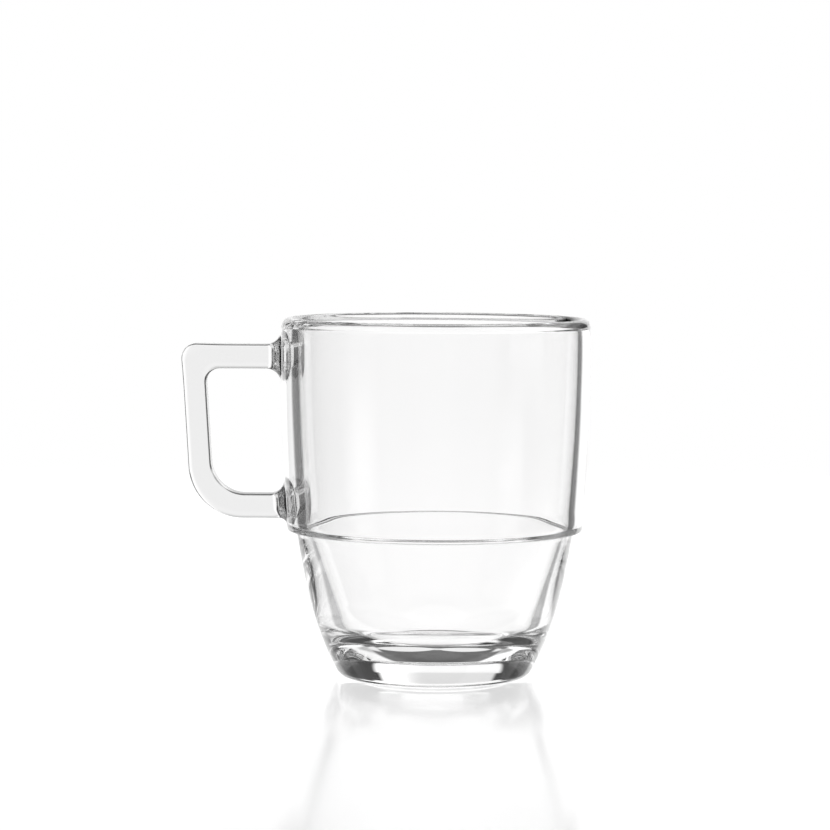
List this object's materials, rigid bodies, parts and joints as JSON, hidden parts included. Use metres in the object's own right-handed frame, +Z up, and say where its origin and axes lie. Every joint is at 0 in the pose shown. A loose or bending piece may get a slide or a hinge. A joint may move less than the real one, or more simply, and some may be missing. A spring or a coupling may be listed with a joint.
{
  "type": "coffee glass",
  "caption": "Clear pressed-glass stacking coffee cup with a stepped shoulder, tapered lower bowl, thick base, rounded rim and a squared side handle.",
  "frame": {"origin": "on the table plane, under the middle of the outline with the handle included, so 12.9 mm from the cup's axis", "axes": "+Z up along the cup's axis, the handle points to -X, +Y away from the viewer of the handle-left side"},
  "size_m": [0.1058, 0.0802, 0.093],
  "materials": {
    "cup_glass": "clear pressed glass, fire-polished",
    "handle_glass": "clear pressed glass, fire-polished"
  },
  "bodies": {
    "root": {"cup_body": "cup_glass", "handle": "handle_glass"}
  },
  "joints": []
}
